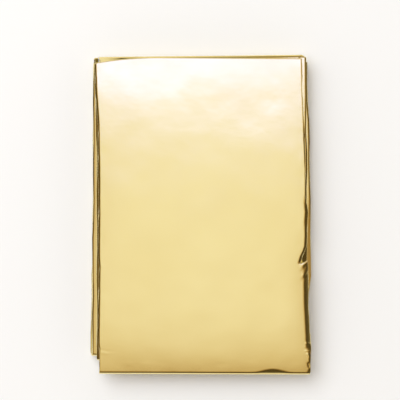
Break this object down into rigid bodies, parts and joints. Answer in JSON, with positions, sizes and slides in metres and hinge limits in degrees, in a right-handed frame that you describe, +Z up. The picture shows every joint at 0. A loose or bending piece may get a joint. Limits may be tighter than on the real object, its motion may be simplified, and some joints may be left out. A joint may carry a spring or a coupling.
{
  "type": "emergency foil blanket, folded",
  "caption": "Emergency blanket of gold metallised film, folded back and forth to a flat, slightly uneven packet that lies on its underside.",
  "frame": {"origin": "middle of the packet at its flat underside", "axes": "+X across the packet, +Y along its long side towards the loose edge of the cover panel, +Z up through its layers"},
  "size_m": [0.0928, 0.1344, 0.0129],
  "materials": {
    "gold_film": "gloss"
  },
  "bodies": {
    "root": {"foil_blanket": "gold_film"}
  },
  "joints": []
}
